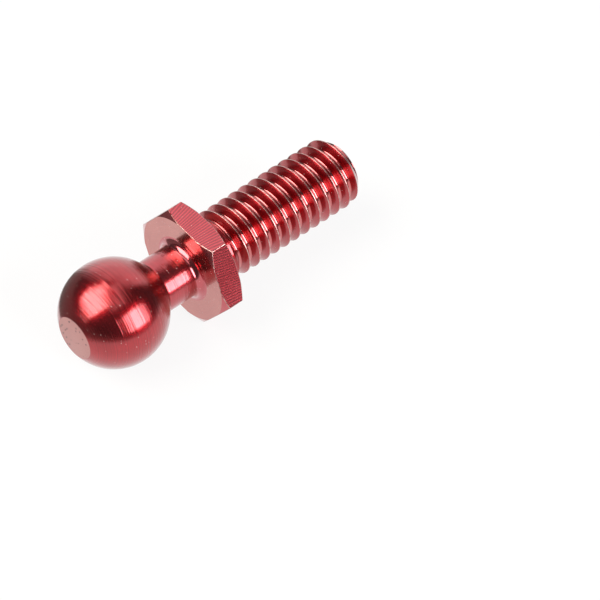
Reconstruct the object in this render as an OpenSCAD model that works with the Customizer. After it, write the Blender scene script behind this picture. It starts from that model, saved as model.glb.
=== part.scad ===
// Threaded ball stud, turned in one piece from hexagonal bar: a ball with a small flat on its pole,
// a slim neck, a chamfered hexagonal collar and a shank for the thread.
// The stud lies on one flat of its collar, with its axis along X and the shank towards +X.

/* [Ball] */
// Diameter of the ball
ball_d = 5.8; // [4.6:0.1:8]
// Diameter of the flat on the ball's outer pole
pole_flat_d = 2.5; // [1:0.1:3.6]

/* [Neck] */
// Diameter of the neck between the ball and the collar
neck_d = 3; // [2:0.1:3.8]
// Distance from the ball's centre to the collar's near face
neck_reach = 4.65; // [4.2:0.05:8]
// Radius of the fillet between the ball and the neck
ball_fillet_r = 0.2; // [0.1:0.05:0.5]
// Radius of the fillet between the neck and the collar
neck_fillet_r = 0.4; // [0.1:0.05:0.8]

/* [Collar] */
// Width of the hexagonal collar across its flats
collar_af = 6; // [5.5:0.1:9]
// Thickness of the collar, bearing face included
collar_t = 1.4; // [1:0.05:3]
// Radial depth of the chamfer that takes off the collar's corners
corner_cut = 0.41; // [0.1:0.01:0.45]
// Angle between a corner chamfer and the end face beside it
corner_angle = 30; // [15:1:45]
// Diameter of the bearing face on the shank's side
bearing_d = 5.5; // [4.4:0.1:5.9]
// Height of the bearing face over the rim around it
bearing_h = 0.06; // [0.02:0.02:0.2]

/* [Shank] */
// Diameter of the shank over its thread
shank_d = 3.9; // [3.6:0.05:4.5]
// Length of the shank from the collar to its tip
shank_l = 9.55; // [5:0.05:20]
// Diameter of the plain relief between the collar and the thread
relief_d = 3.5; // [2.6:0.05:3.8]
// Length of the relief, fillet included
relief_l = 0.75; // [0.5:0.05:2]
// Radius of the fillet between the relief and the collar
relief_fillet_r = 0.3; // [0.1:0.05:0.45]
// Diameter of the flat face at the shank's tip
tip_d = 2.95; // [2:0.05:3.5]

/* [Hidden] */

$fn = 96;
hexagon = 6;
anodised_red = [0.66, 0.09, 0.13];

// The flat of the collar that the stud lies on, counted round the axis
lying_flat = 4;

ball_r = ball_d / 2;
neck_r = neck_d / 2;
relief_r = relief_d / 2;
shank_r = shank_d / 2;

// The pole flat's distance from the ball's centre
pole_offset = sqrt(pow(ball_r, 2) - pow(pole_flat_d / 2, 2));

// Centre of the fillet that touches the ball and the neck, and the point where it touches the ball
ball_fillet_x = neck_r + ball_fillet_r;
ball_fillet_z = sqrt(pow(ball_r + ball_fillet_r, 2) - pow(ball_fillet_x, 2));
ball_touch = [ball_fillet_x, ball_fillet_z] * ball_r / (ball_r + ball_fillet_r);

// The collar's corners, the circle at which its chamfers start, and its rim below the bearing face
corner_d = collar_af / cos(180 / hexagon);
face_r = corner_d / 2 - corner_cut;
rim_t = collar_t - bearing_h;
chamfer_run = 1 / tan(corner_angle);

// The shank's two cones are cut at 45 degrees, so each is as long as its step in radius
runout_l = shank_r - relief_r;
tip_l = shank_r - tip_d / 2;

// Places along the axis, from the ball's centre, and the resting place of the axis
shank_z = neck_reach + collar_t;
tip_z = shank_z + shank_l;
middle_z = (tip_z - pole_offset) / 2;
axis_height = max(collar_af, ball_d) / 2;

// Fillet around a round stem of radius stem_r that stands on a face at z = 0 and rises towards +Z
module stem_fillet(stem_r, fillet_r)
    rotate_extrude()
        difference() {
            square([stem_r + fillet_r, fillet_r]);
            translate([stem_r + fillet_r, fillet_r]) circle(r = fillet_r);
        }

module ball()
    difference() {
        sphere(r = ball_r);
        translate([0, 0, -pole_offset - ball_d]) cylinder(h = ball_d, r = ball_d);
    }

module neck() {
    cylinder(h = neck_reach + collar_t / 2, r = neck_r);
    rotate_extrude()
        difference() {
            polygon([[0, ball_touch[1]], ball_touch, [ball_fillet_x, ball_fillet_z], [0, ball_fillet_z]]);
            translate([ball_fillet_x, ball_fillet_z]) circle(r = ball_fillet_r);
        }
    translate([0, 0, neck_reach]) mirror([0, 0, 1]) stem_fillet(neck_r, neck_fillet_r);
}

module collar()
    intersection() {
        rotate(180 / hexagon) cylinder(h = collar_t, d = corner_d, $fn = hexagon);
        cylinder(h = collar_t, r1 = face_r, r2 = face_r + collar_t * chamfer_run);
        union() {
            cylinder(h = rim_t, r1 = face_r + rim_t * chamfer_run, r2 = face_r);
            translate([0, 0, rim_t]) cylinder(h = bearing_h, r1 = face_r, r2 = bearing_d / 2);
        }
    }

module shank() {
    rotate_extrude()
        polygon([
            [0, -collar_t / 2], [relief_r, -collar_t / 2], [relief_r, relief_l],
            [shank_r, relief_l + runout_l], [shank_r, shank_l - tip_l],
            [tip_d / 2, shank_l], [0, shank_l]
        ]);
    stem_fillet(relief_r, relief_fillet_r);
}

module ball_stud()
    color(anodised_red)
        translate([-middle_z, 0, axis_height])
            rotate([0, 90, 0]) rotate(lying_flat * 360 / hexagon) {
                ball();
                neck();
                translate([0, 0, neck_reach]) collar();
                translate([0, 0, shank_z]) shank();
            }

ball_stud();
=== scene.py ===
import math

import bmesh
import bpy
from mathutils import Matrix, Vector


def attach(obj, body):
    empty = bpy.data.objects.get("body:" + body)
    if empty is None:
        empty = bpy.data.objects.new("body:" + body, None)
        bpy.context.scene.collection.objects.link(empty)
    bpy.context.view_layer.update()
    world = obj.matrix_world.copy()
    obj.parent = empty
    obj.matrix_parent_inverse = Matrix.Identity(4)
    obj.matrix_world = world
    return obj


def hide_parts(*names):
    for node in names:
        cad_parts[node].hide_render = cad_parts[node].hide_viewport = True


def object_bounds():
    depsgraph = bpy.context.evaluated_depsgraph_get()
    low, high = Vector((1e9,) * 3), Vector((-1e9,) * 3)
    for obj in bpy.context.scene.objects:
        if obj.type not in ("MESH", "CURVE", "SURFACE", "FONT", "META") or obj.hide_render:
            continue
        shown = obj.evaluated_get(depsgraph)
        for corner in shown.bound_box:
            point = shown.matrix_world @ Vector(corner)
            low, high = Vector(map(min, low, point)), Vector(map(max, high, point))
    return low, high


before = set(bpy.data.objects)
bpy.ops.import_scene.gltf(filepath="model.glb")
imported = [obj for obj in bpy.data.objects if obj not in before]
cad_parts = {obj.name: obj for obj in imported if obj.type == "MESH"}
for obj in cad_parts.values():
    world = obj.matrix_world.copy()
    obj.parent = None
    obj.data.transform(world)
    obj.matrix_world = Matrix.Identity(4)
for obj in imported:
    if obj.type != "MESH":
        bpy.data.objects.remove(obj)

cad_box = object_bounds()

# Turned body: the ball with its flat pole, the neck, the disc that becomes the collar, and the relief.
# It is one length of aluminium bar turned on a lathe. The open ring at its end takes the thread.
# Sizes are in millimetres; places along the axis are counted from the ball's centre.
MM = 0.001
BALL_R = 2.9
POLE_R = 1.25
POLE_EDGE = 0.12
NECK_R = 1.5
BALL_FILLET = 0.2
NECK_FILLET = 0.4
COLLAR_FACE = 4.65
COLLAR_T = 1.4
FLAT_R = 3.0
# The straight edge of a flat on the collar's end face, as an angle to either side of its middle
FACE_ANGLE = 11.25
FACE_R = FLAT_R / math.cos(math.radians(FACE_ANGLE))
BLANK_R = 3.55
CHAMFER = math.tan(math.radians(30))
BEARING_R = 2.75
BEARING_H = 0.06
RELIEF_R = 1.75
RELIEF_FILLET = 0.3
RELIEF_L = 0.6
# A ring this far past a fillet keeps the fillet's shading off the plain stretch beside it
SUPPORT = 0.03
SEGMENTS = 192

# The axis and the ball's centre follow from the CAD part's box, read to a ten-thousandth of a millimetre
AXIS_Z = round((cad_box[0][2] + cad_box[1][2]) / 2 / MM, 4)
BALL_X = round(cad_box[0][0] / MM, 4) + math.sqrt(BALL_R**2 - POLE_R**2)


def arc(x, r, radius, start, end, steps):
    """Points of an arc about (x, r), from one angle to another, the first one left out"""
    turn = [math.radians(start + (end - start) * i / steps) for i in range(1, steps + 1)]
    return [(x + radius * math.cos(a), r + radius * math.sin(a)) for a in turn]


def lathe(name, points):
    """A disc at the first place and radius, run on ring by ring through the other ones"""
    bpy.ops.object.select_all(action="DESELECT")
    x, r = points[0]
    bpy.ops.mesh.primitive_circle_add(
        vertices=SEGMENTS,
        radius=r * MM,
        fill_type="NGON",
        location=((BALL_X + x) * MM, 0, AXIS_Z * MM),
        rotation=(0, math.pi / 2, 0),
    )
    piece = bpy.context.object
    piece.name = name
    bpy.ops.object.transform_apply(location=True, rotation=True, scale=True)
    bpy.ops.object.mode_set(mode="EDIT")
    bpy.ops.mesh.select_mode(type="EDGE")
    bpy.ops.mesh.select_all(action="SELECT")
    for next_x, next_r in points[1:]:
        bpy.ops.mesh.extrude_edges_move(TRANSFORM_OT_translate={"value": ((next_x - x) * MM, 0, 0)})
        bpy.ops.transform.resize(
            value=(1, next_r / r, next_r / r),
            center_override=((BALL_X + next_x) * MM, 0, AXIS_Z * MM),
        )
        x, r = next_x, next_r
    return piece


fillet_r = NECK_R + BALL_FILLET
fillet_x = math.sqrt((BALL_R + BALL_FILLET) ** 2 - fillet_r**2)
pole_x = -math.sqrt(BALL_R**2 - POLE_R**2)
edge_x = pole_x + POLE_EDGE
edge_r = math.sqrt((BALL_R - POLE_EDGE) ** 2 - edge_x**2)
edge_angle = math.degrees(math.atan2(edge_r, edge_x))
touch_angle = math.degrees(math.atan2(fillet_r, fillet_x))
neck_end = COLLAR_FACE - NECK_FILLET
collar_end = COLLAR_FACE + COLLAR_T
rim_end = collar_end - BEARING_H
cone_l = (BLANK_R - FACE_R) * CHAMFER
seat_r = RELIEF_R + RELIEF_FILLET

profile = [(pole_x, edge_r)]
profile += arc(edge_x, edge_r, POLE_EDGE, 180, edge_angle, steps=4)
profile += arc(0, 0, BALL_R, edge_angle, touch_angle, steps=64)
profile += arc(fillet_x, fillet_r, BALL_FILLET, 180 + touch_angle, 270, steps=6)
profile += [(fillet_x + SUPPORT, NECK_R), (neck_end - SUPPORT, NECK_R), (neck_end, NECK_R)]
profile += arc(neck_end, NECK_R + NECK_FILLET, NECK_FILLET, -90, 0, steps=10)
profile += [(COLLAR_FACE, NECK_R + NECK_FILLET + SUPPORT), (COLLAR_FACE, FACE_R)]
profile += [(COLLAR_FACE + cone_l, BLANK_R), (rim_end - cone_l, BLANK_R)]
profile += [(rim_end, FACE_R), (collar_end, BEARING_R)]
profile += [(collar_end, seat_r + SUPPORT), (collar_end, seat_r)]
profile += arc(collar_end + RELIEF_FILLET, seat_r, RELIEF_FILLET, 180, 270, steps=8)
profile += [(collar_end + RELIEF_L, RELIEF_R)]
stud = lathe("ball_stud_turned", profile)

# Flats of the collar: the bar's six sides, cut straight, each with a curved edge where a chamfer meets it.
# The edges have lost their sharpness to handling, so each is a narrow band, which catches the light.
SIDES = 6
HALF_SIDE = 180 / SIDES
EDGE_WEAR = 0.03
# An edge wears where its two faces turn by more than this, in radians
SHARP_EDGE = 0.2
# How near a size in millimetres or a normal, an angle in degrees, and two points in metres count as the same
NEAR = 0.001
NEAR_ANGLE = 0.1
WELD = 1e-7
CUT_SLACK = 1e-8


def pick(piece, kind, test):
    """Selects what passes the test among the faces or edges of the piece in edit mode"""
    mesh = bmesh.from_edit_mesh(piece.data)
    bpy.ops.mesh.select_mode(type="FACE" if kind == "faces" else "EDGE")
    bpy.ops.mesh.select_all(action="DESELECT")
    for item in getattr(mesh, kind):
        if test(item):
            item.select_set(True)
    mesh.select_flush_mode()
    bmesh.update_edit_mesh(piece.data)


def on_a_flat(face):
    """Is the face one of the collar's flats, or a part of one?"""
    centre, normal = face.calc_center_median(), face.normal
    out = Vector((0, centre.y, centre.z - AXIS_Z * MM))
    return abs(normal.x) < NEAR and abs(out.dot(normal) / MM - FLAT_R) < NEAR


def crowds_an_end(edge):
    """Does the edge leave a circle of the collar one step outside the end of a flat's straight edge?"""
    places = [(v.co.y / MM, v.co.z / MM - AXIS_Z) for v in edge.verts]
    radii = [math.hypot(y, z) for y, z in places]
    y, z = places[0 if abs(radii[0] - FACE_R) < abs(radii[1] - FACE_R) else 1]
    from_flat = abs(math.degrees(math.atan2(z, y)) % (2 * HALF_SIDE) - HALF_SIDE)
    on_circle = [abs(r - FACE_R) < NEAR for r in radii]
    next_step = abs(from_flat - FACE_ANGLE - 360 / SEGMENTS) < NEAR_ANGLE
    return any(on_circle) and not all(on_circle) and next_step


for k in range(SIDES):
    a = math.radians(HALF_SIDE + 2 * HALF_SIDE * k)
    out = Vector((0, math.cos(a), math.sin(a)))
    bpy.ops.mesh.select_all(action="SELECT")
    bpy.ops.mesh.bisect(
        plane_co=Vector((0, 0, AXIS_Z * MM)) + out * FLAT_R * MM,
        plane_no=out,
        use_fill=True,
        clear_outer=True,
        threshold=CUT_SLACK,
    )
bpy.ops.mesh.select_all(action="SELECT")
bpy.ops.mesh.remove_doubles(threshold=WELD)
bpy.ops.mesh.normals_make_consistent(inside=False)
# The worn band runs out along each circle past its next point, so that point and its edges are taken out
pick(stud, "edges", crowds_an_end)
bpy.ops.mesh.dissolve_edges(use_verts=True)
pick(stud, "edges", lambda e: any(on_a_flat(f) for f in e.link_faces) and e.calc_face_angle(0) > SHARP_EDGE)
bpy.ops.mesh.bevel(offset=EDGE_WEAR * MM, segments=2, affect="EDGES", clamp_overlap=False)
bpy.ops.object.mode_set(mode="OBJECT")

# Thread: M4 x 0.7, right-hand, rolled into the shank, so its crests and roots are smooth and a little rounded.
# It rises out of the plain relief, and the chamfer at the tip cuts its last turns off.
# A small pip is left in the middle of the tip, where the stud was cut off the bar.
PITCH = 0.7
CREST_R = 1.95
CREST_FLAT = 0.06
CREST_ROUND = 0.03
ROOT_ROUND = 0.13
FLANK_ANGLE = 30
TURNS = 17
THREAD_START = 4.9587
RISE_START, RISE_END = 6.75, 7.1
JOIN_GAP = 0.05
SHANK_END = 15.6
TIP_R = 1.475
PIP_R = 0.16
PIP_TOP_R = 0.128
PIP_H = 0.03
# The shape that trims the thread is wider than the crests, and its near face is drawn out from a small disc
TRIM_R = 2.3
TRIM_CORE_R = 0.5
SMOOTH_ANGLE = 26

flank = math.radians(FLANK_ANGLE)
crest_edge = PITCH / 2 - CREST_FLAT / 2
lean = ROOT_ROUND * math.cos(flank)
root_centre = CREST_R + ROOT_ROUND * math.sin(flank) - (crest_edge - lean) / math.tan(flank)
bend = CREST_ROUND * math.tan(flank)
half = [(0, root_centre - ROOT_ROUND)]
half += arc(0, root_centre, ROOT_ROUND, -90, -FLANK_ANGLE, steps=6)
half += [((half[-1][0] + crest_edge) / 2, (half[-1][1] + CREST_R) / 2)]
half += arc(crest_edge + bend, CREST_R - CREST_ROUND, CREST_ROUND, 180 - FLANK_ANGLE, 90, steps=4)
ridge = half + [(PITCH - x, r) for x, r in reversed(half)]

# One groove is drawn point by point, from a plane merged to its middle, and then screwed along the axis
bpy.ops.object.select_all(action="DESELECT")
bpy.ops.mesh.primitive_plane_add(size=PITCH * MM, location=(0, 0, 0))
thread = bpy.context.object
thread.name = "thread"
bpy.ops.object.mode_set(mode="EDIT")
bpy.ops.mesh.select_mode(type="VERT")
bpy.ops.mesh.select_all(action="SELECT")
bpy.ops.mesh.merge(type="CENTER")
x, r = 0, 0
for i, (next_x, next_r) in enumerate(ridge):
    step = ((next_x - x) * MM, 0, (next_r - r) * MM)
    if i == 0:
        bpy.ops.transform.translate(value=step)
    else:
        bpy.ops.mesh.extrude_region_move(TRANSFORM_OT_translate={"value": step})
    x, r = next_x, next_r
bpy.ops.object.mode_set(mode="OBJECT")
screw = thread.modifiers.new("rolling", "SCREW")
screw.axis = "X"
screw.steps = screw.render_steps = SEGMENTS
screw.iterations = TURNS
screw.screw_offset = PITCH * MM
bpy.ops.object.modifier_apply(modifier=screw.name)
thread.location = ((BALL_X + THREAD_START) * MM, 0, AXIS_Z * MM)
bpy.ops.object.transform_apply(location=True, rotation=True, scale=True)

# Where the thread rises out of the relief, crests and roots are both drawn towards the relief's radius
for v in thread.data.vertices:
    along = v.co.x / MM - BALL_X
    out = Vector((0, v.co.y, v.co.z - AXIS_Z * MM))
    t = min(1, max(0, (along - RISE_START) / (RISE_END - RISE_START)))
    t = t * t * (3 - 2 * t)
    r = out.length / MM
    out *= (RELIEF_R + (r - RELIEF_R) * t) / r
    v.co.y, v.co.z = out.y, out.z + AXIS_Z * MM

bpy.ops.object.mode_set(mode="EDIT")
bpy.ops.mesh.select_all(action="SELECT")
bpy.ops.mesh.remove_doubles(threshold=WELD)
join_x = collar_end + RELIEF_L + JOIN_GAP
for place, way in ((join_x, -1), (SHANK_END + PITCH / 2, 1)):
    bpy.ops.mesh.select_all(action="SELECT")
    bpy.ops.mesh.bisect(
        plane_co=((BALL_X + place) * MM, 0, AXIS_Z * MM),
        plane_no=(way, 0, 0),
        use_fill=True,
        clear_outer=True,
        threshold=CUT_SLACK,
    )
bpy.ops.mesh.select_all(action="SELECT")
bpy.ops.mesh.normals_make_consistent(inside=False)
bpy.ops.object.mode_set(mode="OBJECT")

tip = [(collar_end, TRIM_CORE_R), (collar_end, TRIM_R), (SHANK_END - (TRIM_R - TIP_R), TRIM_R)]
tip += [(SHANK_END, TIP_R), (SHANK_END, PIP_R), (SHANK_END + PIP_H, PIP_TOP_R)]
tip_shape = lathe("tip_shape", tip)
bpy.ops.mesh.edge_face_add()
bpy.ops.mesh.select_all(action="SELECT")
bpy.ops.mesh.normals_make_consistent(inside=False)
bpy.ops.object.mode_set(mode="OBJECT")
bpy.ops.object.select_all(action="DESELECT")
bpy.context.view_layer.objects.active = thread
thread.select_set(True)
trim = thread.modifiers.new("tip chamfer", "BOOLEAN")
trim.operation = "INTERSECT"
trim.solver = "EXACT"
trim.object = tip_shape
bpy.ops.object.modifier_apply(modifier=trim.name)
bpy.data.objects.remove(tip_shape)

# The thread's open ring and the relief's are joined into one surface
bpy.ops.object.mode_set(mode="EDIT")
at_join = (BALL_X + join_x) * MM
pick(thread, "faces", lambda f: all(abs(v.co.x - at_join) < WELD for v in f.verts))
bpy.ops.mesh.delete(type="FACE")
bpy.ops.object.mode_set(mode="OBJECT")
bpy.ops.object.select_all(action="DESELECT")
thread.select_set(True)
stud.select_set(True)
bpy.context.view_layer.objects.active = stud
bpy.ops.object.join()
bpy.ops.object.mode_set(mode="EDIT")
pick(stud, "edges", lambda e: e.is_boundary)
bpy.ops.mesh.bridge_edge_loops()
bpy.ops.mesh.select_all(action="SELECT")
bpy.ops.mesh.remove_doubles(threshold=WELD)
bpy.ops.mesh.normals_make_consistent(inside=False)
bpy.ops.object.mode_set(mode="OBJECT")
bpy.ops.object.shade_smooth_by_angle(angle=math.radians(SMOOTH_ANGLE))

# Finish: the whole stud is bright aluminium with a red dyed, sealed oxide layer, so a deep red metal under a
# clear, hard skin. What differs from place to place is how the metal under it was cut, how much it is worn,
# and painted light: paler reds on some faces are painted highlights and reflections, near-black pits are
# painted shade, and the tone along the tool marks is painted light and shade.
# Grain, rings and specks are finer on the real stud, and are drawn as coarse as they need to be to show.
RED = ("#B41C27", "#A61721")
SKIN_IOR = 1.65
GRAIN_MM = 0.05
GRAIN_HEIGHT = 0.2
CLOUD_LOW, CLOUD_HIGH = 0.35, 0.65
MARK_LOW, MARK_HIGH = 0.3, 0.7
# Rings on the neck are this much closer together than on the ball
NECK_RUN = 0.7
# The cutter's lines stand square to the flat at this angle, and lean on the others; they waver a little
CUT_SQUARE = 98
CUT_LEAN = 0.24
CUT_WAVER = 1.2
CUT_WAVER_SCALE = 1.6
COLLAR_MIDDLE = BALL_X + COLLAR_FACE + COLLAR_T / 2
# Specks lie in cells of this size; each kind has its colour, its radius and the share of the cells that hold one
SPECK_MM = 0.17
DUST = ("#C4A6A0", 0.017, 0.27)
# Pits are near-black: the shade inside them is painted
SHADED_PITS = ("#1C0A0A", 0.072, 0.13)


def linear(code):
    """An sRGB hex colour as linear red, green, blue and alpha"""
    parts = [int(code[i : i + 2], 16) / 255 for i in (1, 3, 5)]
    return [c / 12.92 if c <= 0.04045 else ((c + 0.055) / 1.055) ** 2.4 for c in parts] + [1.0]


def add(tree, kind, inputs=None, **settings):
    """A node with its settings, and each input as a value or as a link from another node's output"""
    made = tree.nodes.new(kind)
    for key, value in settings.items():
        setattr(made, key, value)
    for key, value in (inputs or {}).items():
        if isinstance(value, bpy.types.NodeSocket):
            tree.links.new(value, made.inputs[key])
        else:
            made.inputs[key].default_value = value
    return made


def anodised(name, tones, rough, skin_rough, marks, mark_mm, depth_mm, painted_line_shade=0.1, cloud_mm=1.2, specks=DUST):
    """Red anodised aluminium, with tool marks that follow the lathe, the thread's groove or a straight cut"""
    material = bpy.data.materials.new(name)
    material.use_nodes = True
    tree = material.node_tree
    tree.nodes.clear()
    place = add(tree, "ShaderNodeTexCoord").outputs["Object"]
    start = COLLAR_MIDDLE if marks == "cut" else BALL_X
    from_axis = {"Vector": place, "Location": (-start * MM, 0, -AXIS_Z * MM)}
    centred = add(tree, "ShaderNodeMapping", from_axis)
    part = add(tree, "ShaderNodeSeparateXYZ", {"Vector": centred.outputs[0]})
    along, aside, above = part.outputs
    across = add(tree, "ShaderNodeCombineXYZ", {"Y": aside, "Z": above}).outputs[0]
    radius = add(tree, "ShaderNodeVectorMath", {0: across}, operation="LENGTH").outputs["Value"]
    grain = {"Vector": place, "Scale": 1 / (GRAIN_MM * MM), "Detail": 2.0}
    grain = add(tree, "ShaderNodeTexNoise", grain).outputs[0]

    # Tool marks, as a pattern along the way that the tool went from one mark to the next
    if marks == "cut":
        turn = add(tree, "ShaderNodeMath", {0: above, 1: aside}, operation="ARCTAN2").outputs[0]
        lean = {0: turn, 1: 2.0, 2: -2 * math.radians(CUT_SQUARE)}
        lean = add(tree, "ShaderNodeMath", lean, operation="MULTIPLY_ADD").outputs[0]
        lean = add(tree, "ShaderNodeMath", {0: lean}, operation="SINE").outputs[0]
        lean = add(tree, "ShaderNodeMath", {0: lean, 1: -CUT_LEAN}, operation="MULTIPLY").outputs[0]
        lean = add(tree, "ShaderNodeMath", {0: lean, 1: along}, operation="MULTIPLY").outputs[0]
        run = {0: turn, 1: FLAT_R * MM, 2: lean}
        run = add(tree, "ShaderNodeMath", run, operation="MULTIPLY_ADD").outputs[0]
        # A wave of scale 1 has a period of tau / 20
        wave = {
            "Vector": add(tree, "ShaderNodeCombineXYZ", {"X": run}).outputs[0],
            "Scale": math.tau / 20 / (mark_mm * MM),
            "Distortion": CUT_WAVER,
            "Detail Scale": CUT_WAVER_SCALE,
        }
        lines = add(tree, "ShaderNodeTexWave", wave).outputs["Fac"]
    else:
        run = radius
        if marks == "lathe":
            neck = add(tree, "ShaderNodeMath", {0: along, 1: fillet_x * MM}, operation="SUBTRACT").outputs[0]
            neck = add(tree, "ShaderNodeMath", {0: neck, 1: 0.0}, operation="MAXIMUM").outputs[0]
            neck = add(tree, "ShaderNodeMath", {0: neck, 1: -NECK_RUN}, operation="MULTIPLY").outputs[0]
            turn = add(tree, "ShaderNodeMath", {0: radius, 1: along}, operation="ARCTAN2").outputs[0]
            run = {0: turn, 1: BALL_R * MM, 2: neck}
            run = add(tree, "ShaderNodeMath", run, operation="MULTIPLY_ADD").outputs[0]
        # A ring is one high and one low swell of the noise
        rings = {"W": run, "Scale": 2 / (mark_mm * MM), "Detail": 1.0, "Roughness": 0.5}
        lines = add(tree, "ShaderNodeTexNoise", rings, noise_dimensions="1D").outputs[0]
    height = {0: grain, 1: GRAIN_HEIGHT, 2: lines}
    height = add(tree, "ShaderNodeMath", height, operation="MULTIPLY_ADD").outputs[0]
    relief = {"Height": height, "Strength": 1.0, "Distance": depth_mm * MM}
    relief = add(tree, "ShaderNodeBump", relief).outputs[0]

    # The dye's cloudy tone, with painted light and shade on the marks: lighter where a mark sinks, darker where
    # it rises
    cloud = {"Vector": place, "Scale": 1 / (cloud_mm * MM), "Detail": 3.0}
    cloud = add(tree, "ShaderNodeTexNoise", cloud).outputs[0]
    cloud = {"Value": cloud, "From Min": CLOUD_LOW, "From Max": CLOUD_HIGH}
    cloud = add(tree, "ShaderNodeMapRange", cloud).outputs[0]
    tone = {0: cloud, 6: linear(tones[0]), 7: linear(tones[1])}
    tone = add(tree, "ShaderNodeMix", tone, data_type="RGBA").outputs[2]
    painted_line_value = {"Value": lines, "From Min": MARK_LOW, "From Max": MARK_HIGH}
    painted_line_value |= {"To Min": 1 + painted_line_shade, "To Max": 1 - painted_line_shade}
    painted_line_value = add(tree, "ShaderNodeMapRange", painted_line_value).outputs[0]
    tone = add(tree, "ShaderNodeHueSaturation", {"Color": tone, "Value": painted_line_value}).outputs[0]

    # Specks of dust, or pits whose near-black is painted shade
    speck_colour, speck_r, speck_share = specks
    cells = add(tree, "ShaderNodeTexVoronoi", {"Vector": place, "Scale": 1 / (SPECK_MM * MM)})
    near = {0: cells.outputs["Distance"], 1: speck_r / SPECK_MM}
    near = add(tree, "ShaderNodeMath", near, operation="LESS_THAN").outputs[0]
    chance = add(tree, "ShaderNodeSeparateColor", {"Color": cells.outputs["Color"]}).outputs[0]
    chosen = add(tree, "ShaderNodeMath", {0: chance, 1: speck_share}, operation="LESS_THAN").outputs[0]
    speck = add(tree, "ShaderNodeMath", {0: near, 1: chosen}, operation="MULTIPLY").outputs[0]
    colour = {0: speck, 6: tone, 7: linear(speck_colour)}
    colour = add(tree, "ShaderNodeMix", colour, data_type="RGBA").outputs[2]
    bare = add(tree, "ShaderNodeMath", {0: 1.0, 1: speck}, operation="SUBTRACT").outputs[0]

    gloss = {"Value": grain, "To Min": rough[0], "To Max": rough[1]}
    metal = {
        "Base Color": colour,
        "Metallic": bare,
        "Roughness": add(tree, "ShaderNodeMapRange", gloss).outputs[0],
        "Normal": relief,
        # A pit breaks the clear skin
        "Coat Weight": bare if specks is SHADED_PITS else 1.0,
        "Coat Roughness": skin_rough,
        "Coat IOR": SKIN_IOR,
        "Coat Normal": relief,
    }
    metal = add(tree, "ShaderNodeBsdfPrincipled", metal).outputs[0]
    add(tree, "ShaderNodeOutputMaterial", {"Surface": metal})
    return material


finishes = {}
# Turned with a pointed tool: deep red, its highlights drawn out into streaks across the rings
finishes["turned"] = anodised(
    "turned_red_anodised", RED, (0.2, 0.3), 0.1, "lathe",
    mark_mm=0.13, depth_mm=0.0105, painted_line_shade=0.12,
)
# Turned with a finer feed, its streaks shorter; its lighter red is painted highlight and reflection, so that both
# come out paler
finishes["neck"] = anodised(
    "neck_red_painted_highlight", ("#BC363F", "#B02E37"), (0.2, 0.3), 0.1, "lathe",
    mark_mm=0.13, depth_mm=0.007, painted_line_shade=0.12,
)
# Faced square to the axis: smooth, and painted a dull pink that stands for its reflection of the pale table,
# which it also mirrors
finishes["faced"] = anodised(
    "faced_red_painted_reflection", ("#C8746B", "#C26C64"), (0.16, 0.24), 0.1, "lathe",
    mark_mm=0.1, depth_mm=0.0004, painted_line_shade=0.03,
)
# Cut off and left: painted dull pink as well, for the same reflection, with small near-black pits whose dark is
# painted shade
finishes["pole"] = anodised(
    "pole_red_painted_reflection", ("#B6685E", "#B06056"), (0.1, 0.2), 0.06, "lathe",
    mark_mm=0.1, depth_mm=0.0004, painted_line_shade=0.03, specks=SHADED_PITS,
)
# Milled straight across: clear lines, with the strongest painted light and shade from line to line
finishes["cut"] = anodised(
    "cut_red_anodised", ("#CA404B", "#C23843"), (0.2, 0.23), 0.12, "cut",
    mark_mm=0.135, depth_mm=0.0014, painted_line_shade=0.28,
)
# Rubbed through along the edges: bare pale metal, broken by what is left of the red
finishes["worn"] = anodised(
    "worn_red_anodised", ("#CDA39B", "#8A2028"), (0.25, 0.4), 0.15, "lathe",
    mark_mm=0.06, depth_mm=0.001, cloud_mm=0.16,
)
# Formed by a round-nosed tool: the smoothest of the turned faces. Its paler red is a painted highlight, so that
# the lamps show in it cream white
finishes["fillet"] = anodised(
    "fillet_red_painted_highlight", ("#C8525A", "#BE484F"), (0.14, 0.22), 0.08, "lathe",
    mark_mm=0.12, depth_mm=0.0006,
)
# Rolled flanks: the deep red of the ball, but softer in its gloss
finishes["rolled"] = anodised(
    "rolled_red_anodised", RED, (0.28, 0.34), 0.14, "groove",
    mark_mm=0.12, depth_mm=0.0015,
)
# Crests rubbed pale by handling: fine light lines along the helix
finishes["crest"] = anodised(
    "rubbed_red_anodised", ("#D0A09A", "#A85E5C"), (0.26, 0.36), 0.16, "groove",
    mark_mm=0.06, depth_mm=0.001, cloud_mm=0.2,
)
# Roots burnished by the roll: where they face the large softbox, their paler red is a painted highlight, which
# shows as narrow white streaks
finishes["root"] = anodised(
    "root_red_painted_highlight", ("#D26868", "#CA5C5D"), (0.1, 0.16), 0.06, "groove",
    mark_mm=0.12, depth_mm=0.001,
)
for finish in finishes.values():
    stud.data.materials.append(finish)
finish_at = {name: i for i, name in enumerate(finishes)}

# Each face takes the finish of the cut that made it, with the light that is painted on that finish.
# The flat ones are shaded flat, so that no edge bleeds into them.
SQUARE_TO_AXIS = 0.999
CHAMFER_SLACK = 0.02
CREST_RUB = 0.012
# A root is painted with the highlight below this share of its round's radius under the round's middle
ROOT_HIGHLIGHT_SHARE = 0.64
# The part of a root with the painted highlight, by its normal along the axis: most of it faces the ball
ROOT_FROM, ROOT_TO = -0.77, 0.17

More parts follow.
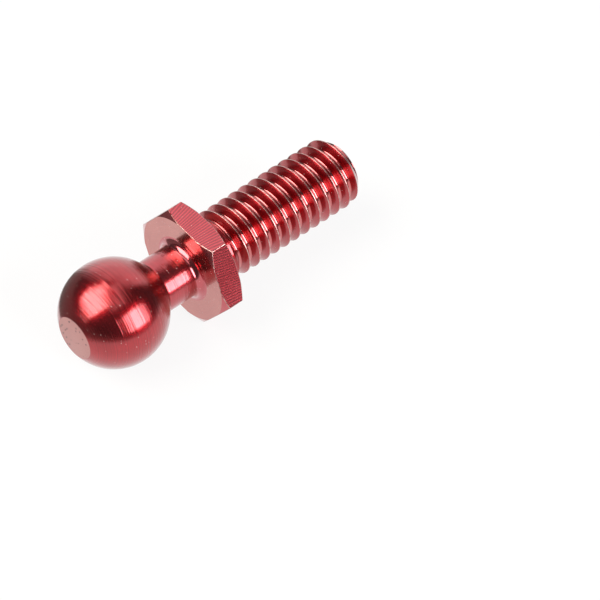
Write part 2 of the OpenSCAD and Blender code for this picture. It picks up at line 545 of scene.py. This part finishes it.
highlight_root_r = root_centre - ROOT_ROUND * ROOT_HIGHLIGHT_SHARE
chamfer_normal = math.cos(math.atan(CHAMFER))
fillets = ((neck_end, COLLAR_FACE), (collar_end, collar_end + RELIEF_FILLET))
for face in stud.data.polygons:
    n = face.normal
    out = Vector((0, face.center.y, face.center.z - AXIS_Z * MM))
    r = out.length / MM
    along = face.center.x / MM - BALL_X
    on_collar = COLLAR_FACE < along < collar_end and r > FLAT_R - 2 * EDGE_WEAR
    kind = "neck" if fillet_x < along < COLLAR_FACE else "turned"
    if abs(n.x) > SQUARE_TO_AXIS:
        kind = "pole" if along < 0 else "faced"
        face.use_smooth = r < seat_r + SUPPORT
    elif on_collar and abs(n.x) < NEAR and abs(out.dot(n) / MM - FLAT_R) < 2 * NEAR:
        kind = "cut"
        face.use_smooth = False
    elif on_collar:
        # The chamfers take the fillets' paler red, as a painted reflection of the pale table
        kind = "fillet" if abs(abs(n.x) - chamfer_normal) < CHAMFER_SLACK else "worn"
        face.use_smooth = kind == "fillet"
    elif any(start < along < end for start, end in fillets) and r < seat_r:
        kind = "fillet"
    elif along > collar_end:
        kind = "rolled"
        if r > CREST_R - CREST_RUB and along < SHANK_END - NEAR:
            kind = "crest"
        elif r < highlight_root_r and ROOT_FROM < n.x < ROOT_TO:
            kind = "root"
    face.material_index = finish_at[kind]
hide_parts("ball_stud")
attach(stud, "root")

# Stage: a white table and a white card behind the stud, soft lights round it, and a camera that looks down on it.
# Its sizes are in metres. The table and the desk lie a hair below and above the surface that the stud rests on.
TABLE_SIZE = 6.0
HAIR = 0.00001


def white(name, glow_share, mirrored):
    """White paper that stays white to the camera and pale in reflections, and still takes some shadow"""
    material = bpy.data.materials.new(name)
    material.use_nodes = True
    tree = material.node_tree
    tree.nodes.clear()
    ray = add(tree, "ShaderNodeLightPath").outputs
    mirror = {0: ray["Is Glossy Ray"], 1: ray["Is Transmission Ray"]}
    mirror = add(tree, "ShaderNodeMath", mirror, operation="MAXIMUM").outputs[0]
    seen = add(tree, "ShaderNodeMath", {0: ray["Is Camera Ray"], 1: mirror}, operation="MAXIMUM").outputs[0]
    part = add(tree, "ShaderNodeMath", {0: seen, 1: glow_share}, operation="MULTIPLY").outputs[0]
    level = add(tree, "ShaderNodeMix", {0: mirror, 2: 1.0, 3: mirrored}).outputs[0]
    paper = add(tree, "ShaderNodeBsdfDiffuse", {"Color": linear("#EDEDED")}).outputs[0]
    glow = add(tree, "ShaderNodeEmission", {"Color": (1, 1, 1, 1), "Strength": level}).outputs[0]
    mix = add(tree, "ShaderNodeMixShader", {0: part, 1: paper, 2: glow}).outputs[0]
    add(tree, "ShaderNodeOutputMaterial", {"Surface": mix})
    return material


bpy.ops.object.select_all(action="DESELECT")
bpy.ops.mesh.primitive_plane_add(size=TABLE_SIZE, location=(0, 0, -HAIR))
table = bpy.context.object
table.name = "table"
table.data.materials.append(white("white_table", glow_share=0.88, mirrored=0.95))

# The card stands upright on the table, one metre behind the stud
CARD_AZIMUTH = 50
CARD_WIDTH = 1.7
CARD_HEIGHT = 1.54


def toward(azimuth, elevation):
    """Unit vector at an azimuth, from +Y towards +X, and an elevation"""
    a, e = math.radians(azimuth), math.radians(elevation)
    return Vector((math.sin(a) * math.cos(e), math.cos(a) * math.cos(e), math.sin(e)))


bpy.ops.object.select_all(action="DESELECT")
bpy.ops.mesh.primitive_plane_add(size=1.0, location=(0, 0, 0))
card = bpy.context.object
card.name = "card"
away = toward(CARD_AZIMUTH, 0)
side = Vector((away.y, -away.x, 0))
turned = Matrix((side, Vector((0, 0, 1)), -away)).transposed().to_4x4()
stood = Matrix.Translation(away + Vector((0, 0, CARD_HEIGHT / 2)))
card.matrix_world = stood @ turned @ Matrix.Diagonal((CARD_WIDTH, CARD_HEIGHT, 1, 1))
card.data.materials.append(white("white_card", glow_share=1.0, mirrored=1.2))

# Two softboxes, which the ball mirrors as its two highlights, and a weak panel overhead
LAMP_DISTANCE = 0.6
middle = Vector((0, 0, AXIS_Z * MM))


def softbox(name, azimuth, elevation, width, height, watts, colour):
    """A rectangular lamp that faces the stud"""
    bpy.ops.object.light_add(type="AREA")
    lamp = bpy.context.object
    lamp.name = name
    lamp.data.shape = "RECTANGLE"
    lamp.data.size = width
    lamp.data.size_y = height
    lamp.data.energy = watts
    lamp.data.color = linear(colour)[:3]
    way = toward(azimuth, elevation)
    lamp.location = middle + way * LAMP_DISTANCE
    lamp.rotation_euler = way.to_track_quat("Z", "Y").to_euler()


softbox("large_softbox", 302, 46, width=0.55, height=0.49, watts=5.1, colour="#FFFAF0")
softbox("small_softbox", 167, 27, width=0.39, height=0.4, watts=3.9, colour="#FFFFFF")
softbox("ceiling_panel", 205, 88, width=0.2, height=0.58, watts=0.46, colour="#FFFFFF")

# The dark desk round the paper, which only the metal sees: it gives the reflections their dark edge.
# It is open between the ball and the card, so that the ball's top mirrors the table up to the card.
PAPER_R = 0.026
PAPER_AZIMUTH = 163
PAPER_SHIFT = 0.0204
PAPER_POINTS = 96
OPEN_TO_CARD = (15, 58)
DESK_R = 1.0

desk_dark = bpy.data.materials.new("dark_desk")
desk_dark.use_nodes = True
desk_dark.node_tree.nodes.clear()
matt = add(desk_dark.node_tree, "ShaderNodeBsdfDiffuse", {"Color": linear("#6E6E6E")})
add(desk_dark.node_tree, "ShaderNodeOutputMaterial", {"Surface": matt.outputs[0]})
ball_foot = Vector((BALL_X * MM, 0, HAIR))
paper_middle = ball_foot + toward(PAPER_AZIMUTH, 0) * PAPER_SHIFT
bpy.ops.object.select_all(action="DESELECT")
bpy.ops.mesh.primitive_circle_add(
    vertices=PAPER_POINTS, radius=PAPER_R, fill_type="NOTHING", location=paper_middle
)
desk = bpy.context.object
desk.name = "desk"
bpy.ops.object.transform_apply(location=True, rotation=True, scale=True)
bpy.ops.object.mode_set(mode="EDIT")
bpy.ops.mesh.select_mode(type="EDGE")
bpy.ops.mesh.select_all(action="SELECT")
bpy.ops.mesh.extrude_edges_move()
bpy.ops.transform.resize(value=(DESK_R / PAPER_R, DESK_R / PAPER_R, 1), center_override=paper_middle)
for azimuth in OPEN_TO_CARD:
    bpy.ops.mesh.select_all(action="SELECT")
    bpy.ops.mesh.bisect(plane_co=ball_foot, plane_no=toward(azimuth + 90, 0), threshold=CUT_SLACK)


def towards_card(face):
    """Does the face lie between the ball and the card?"""
    way = face.calc_center_median() - ball_foot
    return OPEN_TO_CARD[0] < math.degrees(math.atan2(way.x, way.y)) < OPEN_TO_CARD[1]


pick(desk, "faces", towards_card)
bpy.ops.mesh.delete(type="FACE")
bpy.ops.object.mode_set(mode="OBJECT")
desk.data.materials.append(desk_dark)
desk.visible_camera = desk.visible_diffuse = desk.visible_shadow = False

# A dim room, white to the camera
ROOM_GREY = 0.09
world = bpy.data.worlds.new("studio")
bpy.context.scene.world = world
world.use_nodes = True
tree = world.node_tree
tree.nodes.clear()
ray = add(tree, "ShaderNodeLightPath").outputs
room = {"Color": (ROOM_GREY, ROOM_GREY, ROOM_GREY, 1), "Strength": 1.0}
room = add(tree, "ShaderNodeBackground", room).outputs[0]
clear = add(tree, "ShaderNodeBackground", {"Color": (1, 1, 1, 1), "Strength": 1.0}).outputs[0]
mix = add(tree, "ShaderNodeMixShader", {0: ray["Is Camera Ray"], 1: room, 2: clear})
add(tree, "ShaderNodeOutputWorld", {"Surface": mix.outputs[0]})

# The camera looks down on the ball from beyond the pole, through a long lens
CAMERA_RIGHT = Vector((0.74364, -0.66247, 0.09018))
CAMERA_UP = Vector((0.49091, 0.63260, 0.59903))
CAMERA_LOOK = Vector((0.45389, 0.40118, -0.79564))
CAMERA_PLACE = (-0.095075, -0.090733, 0.172510)
LENS_MM = 247.91
SENSOR_MM = 36
CLIP_START = 0.01
bpy.ops.object.camera_add()
camera = bpy.context.object
camera.name = "camera"
aimed = Matrix((CAMERA_RIGHT, CAMERA_UP, -CAMERA_LOOK)).transposed().to_4x4()
camera.matrix_world = Matrix.Translation(CAMERA_PLACE) @ aimed
camera.data.lens = LENS_MM
camera.data.sensor_width = SENSOR_MM
camera.data.clip_start = CLIP_START
bpy.context.scene.camera = camera
bpy.context.scene.view_settings.view_transform = "Standard"
